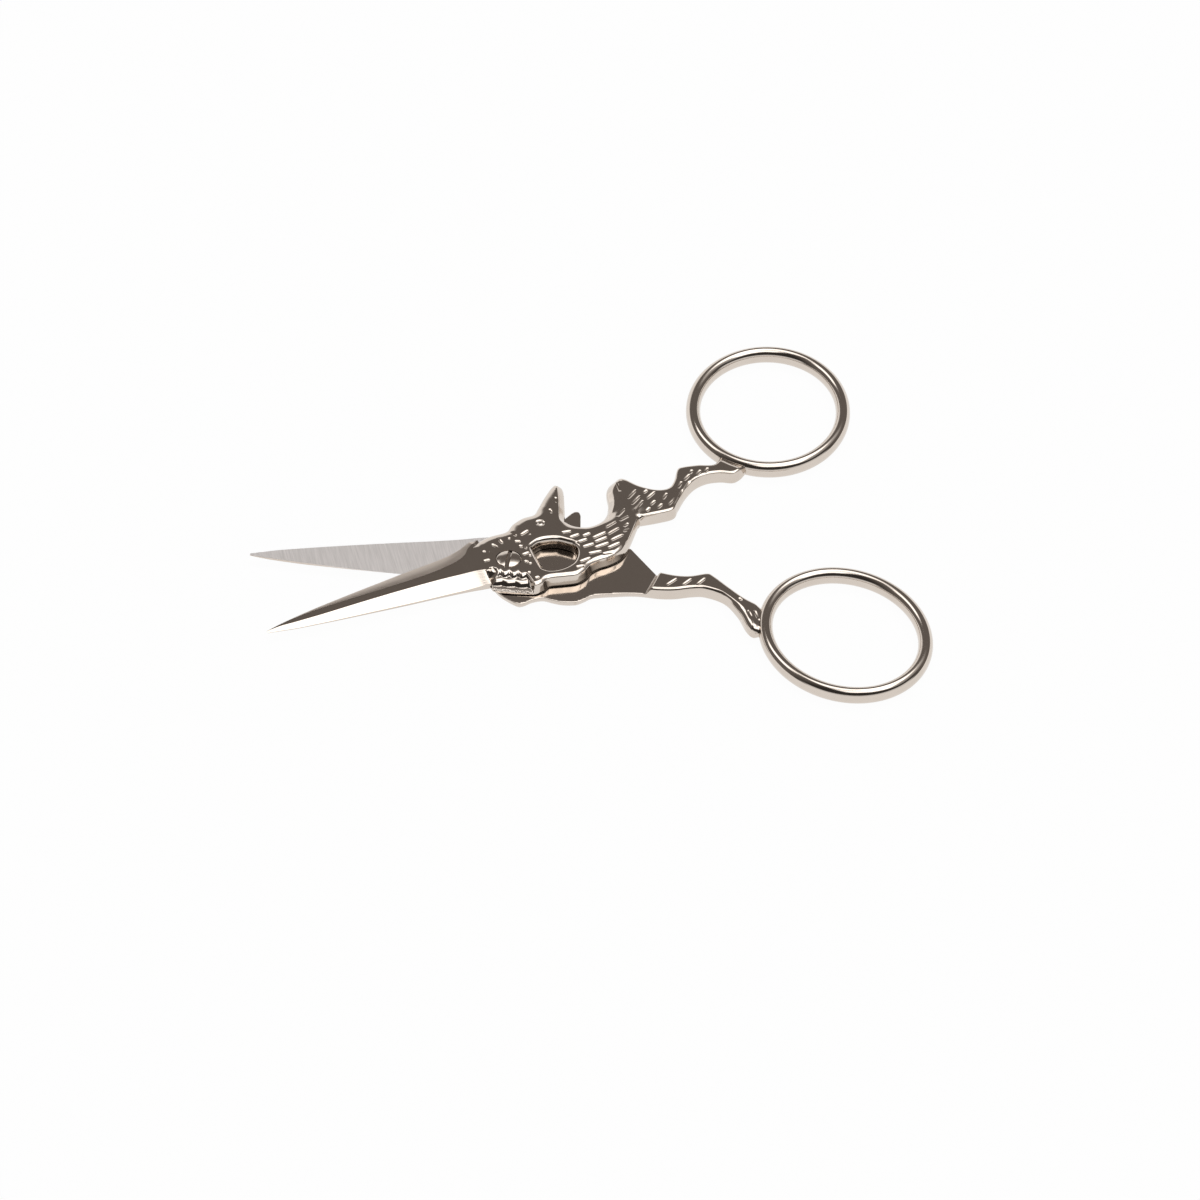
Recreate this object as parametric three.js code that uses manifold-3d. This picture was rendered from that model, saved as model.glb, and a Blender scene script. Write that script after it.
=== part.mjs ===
// Embroidery scissors with an animal figure: two lapped steel halves that turn on one slotted screw.
// Millimetres, +Z up. The screw's axis is the Z axis, the tips point to -X and the finger rings to +X,
// and the flat back of the rear half lies on z = 0. Each half is drawn closed, then turned open.
import * as THREE from 'three';
import { mergeVertices } from 'three/addons/utils/BufferGeometryUtils.js';
import Module from 'manifold-3d';

const wasm = await Module();
wasm.setup();

// Pose: the angle between the two halves, in degrees
const OPENING = 27;

// Figure and handles: thickness of each half over the figure, and of the legs that carry the rings
const FRONT_DEPTH = 1.6;
const REAR_DEPTH = 1.4;
const LEG_DEPTH = 2.1;
const EDGE_EASE = 0.5;
const EAR_EASE = 0.2;
const LAP_GAP = 0.1;
const SHOULDER_GAP = 0.6;
const HAUNCH_START = 14;
const HAUNCH_END = 21;
const EASE_STEPS = 2;
const CURVE_STEPS = 2;
const PLATE_EDGE = [[16.0, 4.5], [19.7, -0.9]];
const REAR_SHOULDER = [[19.3, -0.9], [17.9, -5.0]];

// Blades: both tips meet on a line beside the screw
const BLADE_LENGTH = 33.85;
const BLADE_LINE = 1.6;
const BLADE_ROOT_WIDTH = 7.7;
const BLADE_TIP_WIDTH = 0.5;
const BLADE_ROOT_DEPTH = 1.15;
const BLADE_TIP_DEPTH = 0.3;
const SPINE_DEPTH = 0.3;
const EDGE_LAND = 0.1;
const EDGE_BELLY = 0.57;
const SPINE_BELLY = 0.2;
const BEVEL_OFFSET = 1.5;
const RIDGE_OFFSET = -1.1;
const BLADE_ROOT = -5;
const TANG_LENGTH = 2.5;
const BLADE_STATIONS = 8;

// Finger rings: an oval of round wire, leaning out from the handle
const RING_LONG = 12.08;
const RING_SHORT = 10.1;
const RING_LEAN = 64.8;
const WIRE_WIDTH = 1.95;
const WIRE_DEPTH = 2.3;
const RING_STEPS = 48;
const WIRE_SIDES = 10;
// Where each paw holds the wire's centre line, how far round its ring that is, and how wide the hold is
const FRONT_PAW = [36.27, 6.78];
const FRONT_GRIP = 153;
const FRONT_HOLD = 13;
const REAR_PAW = [34.01, -10.08];
const REAR_GRIP = 119;
const REAR_HOLD = 9;

// Pivot screw: slotted head let into the front half, shank threaded into the rear half
const HEAD_RADIUS = 1.65;
const HEAD_SUNK = 0.5;
const HEAD_DOME = 0.3;
const DOME_SHOULDER = 0.7;
const SHANK_RADIUS = 1.15;
const SLOT_WIDTH = 0.5;
const SLOT_DEPTH = 0.45;
const SLOT_TURN = 70;
const RUNNING_GAP = 0.05;
const ROUND_SIDES = 32;

// Heights of the plane where the halves meet, and of the figure's face
const CONTACT = REAR_DEPTH + LAP_GAP / 2;
const TOP = REAR_DEPTH + LAP_GAP + FRONT_DEPTH;
const REACH = 2 * (BLADE_LENGTH + RING_LONG);

function toSolid(geometry) {
  const bare = geometry.clone();
  bare.deleteAttribute('normal');
  bare.deleteAttribute('uv');
  const merged = mergeVertices(bare, 1e-5);
  const vertProperties = new Float32Array(merged.attributes.position.array);
  const triVerts = new Uint32Array(merged.index.array);
  return new wasm.Manifold(new wasm.Mesh({ numProp: 3, vertProperties, triVerts }));
}

function toMesh(name, solid, material) {
  const { vertProperties, triVerts } = solid.getMesh();
  const geometry = new THREE.BufferGeometry();
  geometry.setAttribute('position', new THREE.BufferAttribute(new Float32Array(vertProperties), 3));
  geometry.setIndex(new THREE.BufferAttribute(new Uint32Array(triVerts), 1));
  geometry.computeVertexNormals();
  const mesh = new THREE.Mesh(geometry, material);
  mesh.name = name;
  return mesh;
}

function gridPoints(rows, columns, place) {
  const positions = [];
  for (let row = 0; row < rows; row += 1) {
    for (let column = 0; column < columns; column += 1) {
      positions.push(...place(row, column));
    }
  }
  return positions;
}

function gridIndex(rows, columns, wrapRows) {
  // Two triangles between neighbouring points; each row is a closed loop, and the rows may close up too
  const index = [];
  const lastRow = wrapRows ? rows : rows - 1;
  for (let row = 0; row < lastRow; row += 1) {
    for (let column = 0; column < columns; column += 1) {
      const next = (column + 1) % columns;
      const a = row * columns + column;
      const b = row * columns + next;
      const c = ((row + 1) % rows) * columns + next;
      const d = ((row + 1) % rows) * columns + column;
      index.push(a, b, c, a, c, d);
    }
  }
  return index;
}

function gridGeometry(positions, index) {
  const geometry = new THREE.BufferGeometry();
  geometry.setAttribute('position', new THREE.Float32BufferAttribute(positions, 3));
  geometry.setIndex(index);
  return geometry;
}

function ringPoint(ring, degrees, outward = 0) {
  // A point on the wire's centre line, or beside it; ring.side is +1 for the front ring, -1 for the rear
  const turn = THREE.MathUtils.degToRad(degrees);
  const lean = THREE.MathUtils.degToRad(RING_LEAN);
  const normal = new THREE.Vector2(RING_SHORT * Math.cos(turn), RING_LONG * Math.sin(turn)).normalize();
  const along = RING_LONG * Math.cos(turn) + outward * normal.x;
  const across = RING_SHORT * Math.sin(turn) + outward * normal.y;
  const x = along * Math.cos(lean) - across * Math.sin(lean);
  const y = along * Math.sin(lean) + across * Math.cos(lean);
  return [ring.centre[0] + x, ring.centre[1] + ring.side * y];
}

function heldRing(side, paw, grip) {
  // The ring whose wire passes through the paw at the given angle
  const [x, y] = ringPoint({ centre: [0, 0], side }, grip);
  return { centre: [paw[0] - x, paw[1] - y], side };
}

function gripPoints(ring, grip, hold) {
  // Three points of the wire under the paw, in the order in which the half's outline passes them
  const turns = [grip + ring.side * hold, grip, grip - ring.side * hold];
  return turns.map((degrees) => ringPoint(ring, degrees));
}

function ringSolid(ring) {
  const place = (row, column) => {
    const around = (360 * row) / RING_STEPS;
    const section = (2 * Math.PI * column) / WIRE_SIDES;
    const [x, y] = ringPoint(ring, around, (WIRE_WIDTH / 2) * Math.cos(section));
    return [x, y, CONTACT - ring.side * (WIRE_DEPTH / 2) * Math.sin(section)];
  };
  const positions = gridPoints(RING_STEPS, WIRE_SIDES, place);
  return toSolid(gridGeometry(positions, gridIndex(RING_STEPS, WIRE_SIDES, true)));
}

function bladeSection(grown) {
  // Across the front blade, from the cutting edge at +Y: edge, its land, bevel, ridge, and down to the spine
  const half = THREE.MathUtils.lerp(BLADE_TIP_WIDTH, BLADE_ROOT_WIDTH, grown) / 2;
  const bow = 4 * grown * (1 - grown);
  const edge = half + EDGE_BELLY * bow;
  const spine = -half - SPINE_BELLY * bow;
  const depth = THREE.MathUtils.lerp(BLADE_TIP_DEPTH, BLADE_ROOT_DEPTH, Math.sqrt(grown));
  const bevel = THREE.MathUtils.lerp(half / 2, BEVEL_OFFSET, grown);
  const ridge = THREE.MathUtils.lerp(0, RIDGE_OFFSET, grown);
  const back = Math.min(SPINE_DEPTH, depth / 2);
  return [[edge, 0], [edge, EDGE_LAND], [bevel, depth], [ridge, depth], [spine, back], [spine, 0]];
}

function bladeSolid() {
  // Sections from the tip to the root, and one more for the tang inside the figure
  const rows = BLADE_STATIONS + 1;
  const columns = bladeSection(0).length;
  const place = (row, column) => {
    const grown = Math.min(row / (BLADE_STATIONS - 1), 1);
    const tang = row < BLADE_STATIONS ? 0 : TANG_LENGTH;
    const [across, up] = bladeSection(grown)[column];
    return [
      THREE.MathUtils.lerp(-BLADE_LENGTH, BLADE_ROOT, grown) + tang,
      BLADE_LINE + across,
      CONTACT + LAP_GAP / 2 + up,
    ];
  };
  const index = gridIndex(rows, columns, false);
  const last = (rows - 1) * columns;
  for (let column = 1; column < columns - 1; column += 1) {
    index.push(0, column + 1, column);
    index.push(last, last + column, last + column + 1);
  }
  return toSolid(gridGeometry(gridPoints(rows, columns, place), index));
}

function smoothRun(path, run) {
  const curve = new THREE.SplineCurve(run.map(([x, y]) => new THREE.Vector2(x, y)));
  const steps = run.length > 2 ? CURVE_STEPS * (run.length - 1) : 1;
  for (const point of curve.getPoints(steps).slice(1)) {
    path.lineTo(point.x, point.y);
  }
}

function outlineShape(runs) {
  // Each run is a smooth stretch; the outline has a corner where one run ends and the next begins
  const shape = new THREE.Shape();
  shape.moveTo(...runs[0][0]);
  for (const run of runs) {
    smoothRun(shape, run);
  }
  return shape;
}

function figureSolid(shape, ease, side) {
  // Forging with eased edges, as thick as the legs; its outer side swells from the haunch to the figure
  const half = LEG_DEPTH / 2;
  const outer = side > 0 ? TOP - CONTACT : CONTACT;
  const geometry = new THREE.ExtrudeGeometry(shape, {
    depth: LEG_DEPTH - 2 * ease,
    bevelEnabled: true,
    bevelThickness: ease,
    bevelSize: ease,
    bevelOffset: -ease,
    bevelSegments: EASE_STEPS,
  });
  geometry.translate(0, 0, ease - half);
  const position = geometry.attributes.position;
  for (let i = 0; i < position.count; i += 1) {
    const thinned = THREE.MathUtils.smoothstep(position.getX(i), HAUNCH_START, HAUNCH_END);
    const swell = position.getZ(i) * side > 0 ? THREE.MathUtils.lerp(outer / half, 1, thinned) : 1;
    position.setZ(i, CONTACT + position.getZ(i) * swell);
  }
  return toSolid(geometry);
}

function lapCutter(shoulder, up) {
  // Everything on the tip side of the shoulder line, above or below the plane where the halves meet
  const [top, foot] = shoulder.map(([x, y]) => new THREE.Vector2(x, y));
  const away = foot.clone().sub(top).normalize().multiplyScalar(REACH);
  const ends = [top.clone().sub(away), foot.clone().add(away)];
  const tipSide = new THREE.Vector2(away.y, -away.x);
  const corners = [ends[0], ends[0].clone().add(tipSide), ends[1].clone().add(tipSide), ends[1]];
  const geometry = new THREE.ExtrudeGeometry(new THREE.Shape(corners), { depth: REACH, bevelEnabled: false });
  geometry.translate(0, 0, up ? CONTACT - LAP_GAP / 2 : CONTACT + LAP_GAP / 2 - REACH);
  return toSolid(geometry);
}

function roundCutter(radius, low, high) {
  const geometry = new THREE.CylinderGeometry(radius, radius, high - low, ROUND_SIDES);
  geometry.rotateX(Math.PI / 2);
  geometry.translate(0, 0, (low + high) / 2);
  return toSolid(geometry);
}

const nickel = { color: 0xc8bfb4, metalness: 1, roughness: 0.18 };

// The front half's shoulder clears the diagonal edge of the rear plate when the scissors close
const plateNormal = new THREE.Vector2(
  PLATE_EDGE[0][1] - PLATE_EDGE[1][1],
  PLATE_EDGE[1][0] - PLATE_EDGE[0][0],
).normalize();
const frontShoulder = PLATE_EDGE.map(([x, y]) => [
  x + SHOULDER_GAP * plateNormal.x,
  y + SHOULDER_GAP * plateNormal.y,
]);

// Front half: the boss round the screw, the paws and chest, the hind leg, its paw on the ring,
// and back over the hock, haunch, neck, ear and forehead
const frontRing = heldRing(1, FRONT_PAW, FRONT_GRIP);
const frontGrip = gripPoints(frontRing, FRONT_GRIP, FRONT_HOLD);
const frontOutline = outlineShape([
  [[-3.8, -3.3], [-2.0, -4.7], [0.0, -5.8], [1.6, -6.4], [3.7, -5.95], [5.7, -6.4], [7.6, -6.9], [9.6, -5.6],
    [11.1, -5.0], [12.6, -5.1], [14.3, -4.7], [16.3, -2.9], [17.8, -1.15], [19.6, 1.05]],
  [[19.6, 1.05], [22.2, 0.6], [24.3, 0.5], [25.4, 1.5], [27.4, 3.4], [29.4, 4.7], [31.3, 5.1], [33.1, 4.7],
    [35.0, 3.8], frontGrip[0]],
  frontGrip,
  [frontGrip[2], [33.4, 6.95], [31.2, 7.7], [29.2, 8.2], [28.2, 8.0], [27.0, 6.3], [25.6, 5.1],
    [24.0, 5.5], [22.3, 7.2], [21.3, 9.2], [20.4, 10.0], [18.9, 9.3], [17.9, 8.0], [17.1, 5.7], [15.8, 3.55],
    [14.2, 2.3], [12.4, 2.1], [10.9, 3.1], [10.3, 4.6], [9.7, 6.2], [8.3, 7.2], [7.0, 7.35], [5.2, 7.35],
    [3.5, 6.75], [2.1, 5.7], [0.0, 5.8], [-1.4, 5.55], [-2.7, 5.2]],
  [[-2.7, 5.2], [-3.7, 2.8], [-3.8, 0.3], [-4.0, -1.6], [-3.8, -3.3]],
]);
const frontEar = outlineShape([
  [[7.6, 5.0], [10.3, 4.6]],
  [[10.3, 4.6], [11.1, 7.0], [12.2, 9.8], [12.45, 11.0]],
  [[12.45, 11.0], [12.05, 11.5], [11.4, 11.2]],
  [[11.4, 11.2], [9.8, 9.8], [8.3, 8.35], [7.0, 7.35]],
  [[7.0, 7.35], [7.6, 5.0]],
]);
const crookRim = [[3.7, -2.6], [3.7, 0.3], [5.2, 1.45], [7.3, 1.1], [8.9, -0.7], [8.4, -2.6], [6.6, -3.9],
  [4.6, -4.0], [3.7, -2.6]];
const crook = new THREE.Path();
crook.moveTo(...crookRim[0]);
smoothRun(crook, crookRim);
frontOutline.holes.push(crook);
const frontSolid = figureSolid(frontOutline, EDGE_EASE, frontRing.side)
  .add(figureSolid(frontEar, EAR_EASE, frontRing.side))
  .add(ringSolid(frontRing))
  .subtract(lapCutter(frontShoulder, false))
  .add(bladeSolid())
  .subtract(roundCutter(SHANK_RADIUS + RUNNING_GAP, 0, 2 * TOP))
  .subtract(roundCutter(HEAD_RADIUS + RUNNING_GAP, TOP - HEAD_SUNK - RUNNING_GAP, 2 * TOP));

// Rear half: the flat inner plate with the second ear, its shoulder, hind leg and ring
const rearRing = heldRing(-1, REAR_PAW, REAR_GRIP);
const rearGrip = gripPoints(rearRing, REAR_GRIP, REAR_HOLD);
const rearOutline = outlineShape([
  [[-3.4, -2.0], [-2.4, -3.0], [-1.2, -4.3], [0.0, -5.5], [1.8, -6.8], [3.4, -6.3], [4.8, -5.85],
    [6.2, -6.05], [7.8, -6.35], [9.9, -5.5], [11.5, -4.85], [14.2, -4.5], [17.4, -4.45], [19.8, -4.65],
    [22.0, -4.6], [24.2, -4.15], [26.0, -4.15], [28.5, -5.4], [30.3, -8.0], [31.5, -10.8], [32.5, -11.9],
    rearGrip[0]],
  rearGrip,
  [rearGrip[2], [33.2, -7.2], [31.2, -5.7], [29.2, -3.7], [27.2, -1.6], [26.2, -1.0], [24.0, -1.55],
    [22.0, -1.5], PLATE_EDGE[1]],
  [PLATE_EDGE[1], PLATE_EDGE[0]],
  [PLATE_EDGE[0], [14.4, 5.3], [12.4, 5.4], [10.4, 6.2], [8.2, 7.4], [6.0, 7.5], [3.5, 6.75], [2.1, 5.7],
    [0.0, 5.8], [-1.4, 5.55], [-2.7, 5.2]],
  [[-2.7, 5.2], [-3.5, 2.8], [-3.7, 0.3], [-3.4, -2.0]],
]);
const rearEar = outlineShape([
  [[6.2, 5.4], [9.6, 5.4]],
  [[9.6, 5.4], [9.5, 7.4], [9.0, 9.4], [8.95, 11.3]],
  [[8.95, 11.3], [8.5, 11.85], [7.9, 11.5]],
  [[7.9, 11.5], [6.6, 9.7], [5.0, 7.6]],
  [[5.0, 7.6], [6.2, 5.4]],
]);
const rearBlade = bladeSolid()
  .translate([0, -BLADE_LINE, -CONTACT])
  .rotate([180, 0, 0])
  .translate([0, BLADE_LINE, CONTACT]);
const rearSolid = figureSolid(rearOutline, EDGE_EASE, rearRing.side)
  .add(figureSolid(rearEar, EAR_EASE, rearRing.side))
  .add(ringSolid(rearRing))
  .subtract(lapCutter(REAR_SHOULDER, true))
  .add(rearBlade)
  .subtract(roundCutter(SHANK_RADIUS + RUNNING_GAP, -TOP, 2 * TOP));

// Pivot screw: a turned profile with a domed head, and a slot sawn across it
const headSeat = TOP - HEAD_SUNK;
const screwProfile = [
  [0, 0],
  [SHANK_RADIUS, 0],
  [SHANK_RADIUS, headSeat],
  [HEAD_RADIUS, headSeat],
  [HEAD_RADIUS, TOP],
  [DOME_SHOULDER * HEAD_RADIUS, TOP + DOME_SHOULDER * HEAD_DOME],
  [0, TOP + HEAD_DOME],
].map(([radius, z]) => new THREE.Vector2(radius, z));
const turned = new THREE.LatheGeometry(screwProfile, ROUND_SIDES);
turned.rotateX(Math.PI / 2);
const slot = new THREE.BoxGeometry(3 * HEAD_RADIUS, SLOT_WIDTH, 2 * SLOT_DEPTH);
slot.rotateZ(THREE.MathUtils.degToRad(SLOT_TURN));
slot.translate(0, 0, TOP + HEAD_DOME);
const screwSolid = toSolid(turned).subtract(toSolid(slot));

const scissors = new THREE.Group();
const front = new THREE.Group();
front.rotation.z = THREE.MathUtils.degToRad(OPENING / 2);
front.add(toMesh('front_half', frontSolid, new THREE.MeshStandardMaterial(nickel)));
const rear = new THREE.Group();
rear.rotation.z = THREE.MathUtils.degToRad(-OPENING / 2);
rear.add(toMesh('rear_half', rearSolid, new THREE.MeshStandardMaterial(nickel)));
scissors.add(front, rear);
scissors.add(toMesh('pivot_screw', screwSolid, new THREE.MeshStandardMaterial(nickel)));

export default scissors;
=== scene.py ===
import math

import bpy
import numpy as np
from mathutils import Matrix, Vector
from mathutils.geometry import delaunay_2d_cdt


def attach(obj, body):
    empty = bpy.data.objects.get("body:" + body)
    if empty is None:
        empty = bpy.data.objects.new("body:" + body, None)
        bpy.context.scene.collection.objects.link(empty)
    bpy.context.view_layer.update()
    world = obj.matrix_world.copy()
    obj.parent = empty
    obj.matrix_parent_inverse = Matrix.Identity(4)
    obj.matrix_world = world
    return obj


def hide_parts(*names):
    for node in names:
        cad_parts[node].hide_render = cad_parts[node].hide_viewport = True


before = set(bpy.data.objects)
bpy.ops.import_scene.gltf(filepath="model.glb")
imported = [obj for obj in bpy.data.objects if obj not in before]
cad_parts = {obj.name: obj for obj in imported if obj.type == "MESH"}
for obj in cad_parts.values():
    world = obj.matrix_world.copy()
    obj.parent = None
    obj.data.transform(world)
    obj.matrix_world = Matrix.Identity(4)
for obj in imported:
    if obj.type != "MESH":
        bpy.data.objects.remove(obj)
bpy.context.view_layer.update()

# Front half, figure and hind leg
# The upper of the two forgings: boss round the screw, maned chest, head with pointed ear, crook of the foreleg,
# haunch and leg. Die-forged steel, cut with short fur strokes, polished and nickel-plated. It laps the rear half.
MM = 0.001
CONTACT = 1.45
LAP = 0.05
HALF_TURN = 13.5
FIGURE_RISE = 1.65
LEG_RISE = 1.05
HAUNCH = (14.0, 21.0)
RING_LONG, RING_SHORT, RING_LEAN = 12.08, 10.1, math.radians(64.8)
FRONT_RING_CENTRE = (45.0, 14.57)
RIM_STEP, RUN_STEPS = 0.12, 24
SCREW_SEAT, SEAT_DEPTH = 1.70, 0.55
SCREW_BORE = 1.20


def smooth_run(points, step=RIM_STEP):
    """Curve through the points: between two of them a cubic whose end slopes are half the chord of the
    neighbouring points, then spaced evenly along its length."""
    p = np.asarray(points, float)
    last = len(p) - 1
    at = np.arange(last)
    a, b, c, d = p[np.maximum(at - 1, 0)], p[at], p[at + 1], p[np.minimum(at + 2, last)]
    t = np.linspace(0, 1, RUN_STEPS, endpoint=False)[None, :, None]
    start, stop = ((c - a) / 2)[:, None], ((d - b) / 2)[:, None]
    b, c = b[:, None], c[:, None]
    cubic = (2 * b - 2 * c + start + stop) * t ** 3 + (3 * c - 3 * b - 2 * start - stop) * t ** 2 + start * t + b
    dense = np.vstack([cubic.reshape(-1, p.shape[1]), p[-1:]])
    length = np.r_[0, np.cumsum(np.linalg.norm(np.diff(dense, axis=0), axis=1))]
    even = np.linspace(0, length[-1], max(2, int(round(length[-1] / step)) + 1))
    return np.stack([np.interp(even, length, dense[:, k]) for k in range(p.shape[1])], 1)


def closed_outline(*runs):
    """One closed loop from smooth runs that meet in corners."""
    return np.vstack([smooth_run(run)[:-1] for run in runs])


def circle(radius, step=RIM_STEP):
    """A clockwise circle round the screw's axis: the rim of a hole."""
    turn = -np.linspace(0, 2 * np.pi, max(24, int(2 * np.pi * radius / step)), endpoint=False)
    return radius * np.stack([np.cos(turn), np.sin(turn)], 1)


def ring_point(centre, side, degrees):
    """A point on the oval centre line of a finger ring; side is +1 for the front ring and -1 for the rear."""
    turn = np.radians(degrees)
    along, across = RING_LONG * np.cos(turn), RING_SHORT * np.sin(turn)
    x = along * np.cos(RING_LEAN) - across * np.sin(RING_LEAN)
    y = along * np.sin(RING_LEAN) + across * np.cos(RING_LEAN)
    return (centre[0] + x, centre[1] + side * y)


def ease(low, high, value):
    """0 below low, 1 above high, and a smooth S between."""
    t = np.clip((value - low) / (high - low), 0, 1)
    return t * t * (3 - 2 * t)


FAR = 2.6


def strips(points, axis, starts, ends):
    """Bands of points along an axis, each with the segments that lie within FAR of the band."""
    low, high = np.minimum(starts[:, axis], ends[:, axis]), np.maximum(starts[:, axis], ends[:, axis])
    band = np.floor(points[:, axis])
    for at in np.unique(band):
        yield np.flatnonzero(band == at), np.flatnonzero((high > at - FAR) & (low < at + 1 + FAR))


def segment_distances(points, starts, ends):
    """Distance from each point to each straight segment."""
    reach = ends - starts
    square = np.maximum((reach ** 2).sum(1), 1e-12)
    away = points[:, None] - starts[None]
    t = np.clip((away * reach).sum(2) / square, 0, 1)
    return np.sqrt(((away - t[..., None] * reach) ** 2).sum(2))


def segment_distance(points, starts, ends):
    """Distance from each point to the nearest of the segments, no more than FAR."""
    nearest = np.full(len(points), FAR)
    for rows, near in strips(points, 0, starts, ends):
        if len(near):
            nearest[rows] = np.minimum(FAR, segment_distances(points[rows], starts[near], ends[near]).min(1))
    return nearest


def inside_loops(points, starts, ends):
    """Whether each point lies in the outline: a line from it to the right crosses the rim an odd number of times."""
    inside = np.zeros(len(points), bool)
    for rows, near in strips(points, 1, starts, ends):
        x, y = points[rows, :1], points[rows, 1:]
        a, b = starts[near], ends[near]
        spans = (a[:, 1] > y) != (b[:, 1] > y)
        rise = np.where(b[:, 1] == a[:, 1], 1e-9, b[:, 1] - a[:, 1])
        cross = a[:, 0] + (y - a[:, 1]) / rise * (b[:, 0] - a[:, 0])
        inside[rows] = (spans & (cross > x)).sum(1) % 2 == 1
    return inside


LEAST_INSET, CLEAR_SHARE, MERGE_STEP = 0.004, 0.94, 0.01


def forged_face(loops, bores, height, insets, marks, keep_off):
    """One face of a forging: a height over the plane, as a function of place and of distance from the rim.
    Its points are the rim and the plain bores, copies of the rim set inwards, and a grid of marks, joined by
    triangles."""
    rolled = sum(len(loop) for loop in loops)
    loops = loops + bores
    rim = np.vstack(loops)
    starts, ends = rim, np.vstack([np.roll(loop, -1, 0) for loop in loops])
    along = np.vstack([np.roll(loop, -1, 0) - np.roll(loop, 1, 0) for loop in loops])
    along /= np.linalg.norm(along, axis=1)[:, None]
    inward = np.stack([-along[:, 1], along[:, 0]], 1)
    depth = insets(rim[:rolled])
    copies = (rim[None, :rolled] + inward[None, :rolled] * depth[..., None]).reshape(-1, 2)
    wanted = depth.ravel()
    usable = wanted > LEAST_INSET
    copies, wanted = copies[usable], wanted[usable]
    copies = copies[segment_distance(copies, starts, ends) > CLEAR_SHARE * wanted]
    marks = marks[inside_loops(marks, starts, ends)]
    marks = marks[segment_distance(marks, starts, ends) > keep_off(marks)]
    inner = np.vstack([copies, marks])
    inner = inner[np.sort(np.unique(np.round(inner / MERGE_STEP), axis=0, return_index=True)[1])]
    plan = np.vstack([rim, inner])
    sizes = np.cumsum([0] + [len(loop) for loop in loops])
    edges = np.vstack([
        np.stack([np.arange(low, high), low + (np.arange(high - low) + 1) % (high - low)], 1)
        for low, high in zip(sizes[:-1], sizes[1:])
    ])
    placed, _, faces, _, _, _ = delaunay_2d_cdt(
        [Vector(p) for p in plan.tolist()], edges.tolist(), [], 0, 1e-7)
    if len(placed) != len(plan):
        raise ValueError("two points of a forged face coincide")
    faces = np.array(faces)
    on_rim = (faces < len(rim)).all(1)
    keep = np.ones(len(faces), bool)
    keep[on_rim] = inside_loops(plan[faces[on_rim]].mean(1), starts, ends)
    faces = faces[keep]
    a, b, c = plan[faces[:, 0]], plan[faces[:, 1]], plan[faces[:, 2]]
    turned = np.cross(b - a, c - a) < 0
    faces[turned] = faces[turned][:, ::-1]
    z = height(plan, segment_distance(plan, starts[:rolled], ends[:rolled]))
    return np.c_[plan, z], faces, len(rim), edges


def forging(loops, bores, top, under):
    """A closed body: its upper face, its lower face turned over, and the wall between their common rims."""
    upper, upper_faces, rim, edges = forged_face(loops, bores, *top)
    lower, lower_faces, _, _ = forged_face(loops, bores, *under)
    shift = len(upper)
    i, j = edges[:, 0], edges[:, 1]
    wall = np.vstack([np.stack([i + shift, j + shift, j], 1), np.stack([i + shift, j, i], 1)])
    return np.vstack([upper, lower]), np.vstack([upper_faces, lower_faces[:, ::-1] + shift, wall])


def grid_marks(box, step):
    """Points on a square grid over a box given as x low, x high, y low, y high."""
    x, y = np.meshgrid(np.arange(box[0], box[1], step), np.arange(box[2], box[3], step))
    return np.stack([x.ravel(), y.ravel()], 1)


def round_drop(distance, radius):
    """How far a quarter-round edge lies below its face, at a distance inwards from the rim."""
    t = 1 - np.clip(distance / radius, 0, 1)
    return radius * (1 - np.sqrt(np.maximum(1 - t * t, 0)))


ROUND_TURNS = np.radians([8, 16, 25, 34, 43, 52, 61, 70, 80, 90])


def round_insets(radius):
    """Inset distances at even turns round a quarter-round edge, for each rim point's own radius."""
    return radius[None] * (1 - np.cos(ROUND_TURNS))[:, None]


def stroke_depth(points, strokes):
    """Depth of the graver's cuts: each is a straight trough that rises smoothly to its sides and its ends."""
    depth = np.zeros(len(points))
    cuts = np.array(strokes)
    starts, ends, half, deep = cuts[:, :2], cuts[:, 2:4], cuts[:, 4], cuts[:, 5]
    for rows, near in strips(points, 0, starts, ends):
        if len(near):
            reach = ends[near] - starts[near]
            along = ((points[rows][:, None] - starts[near]) * reach).sum(2) / (reach ** 2).sum(1)
            taper = np.sqrt(np.maximum(1 - np.clip(2 * along - 1, -1, 1) ** 2, 0))
            away = segment_distances(points[rows], starts[near], ends[near]) / half[near]
            depth[rows] = (deep[near] * taper * np.maximum(1 - away ** 2, 0) ** 2).max(1)
    return depth


STROKE_ROOM = 0.12


def near_strokes(points, strokes):
    """Whether each point is close to one of the cuts."""
    rows = np.array(strokes)
    return segment_distance(points, rows[:, :2], rows[:, 2:4]) < rows[:, 4].max() + STROKE_ROOM


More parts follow.
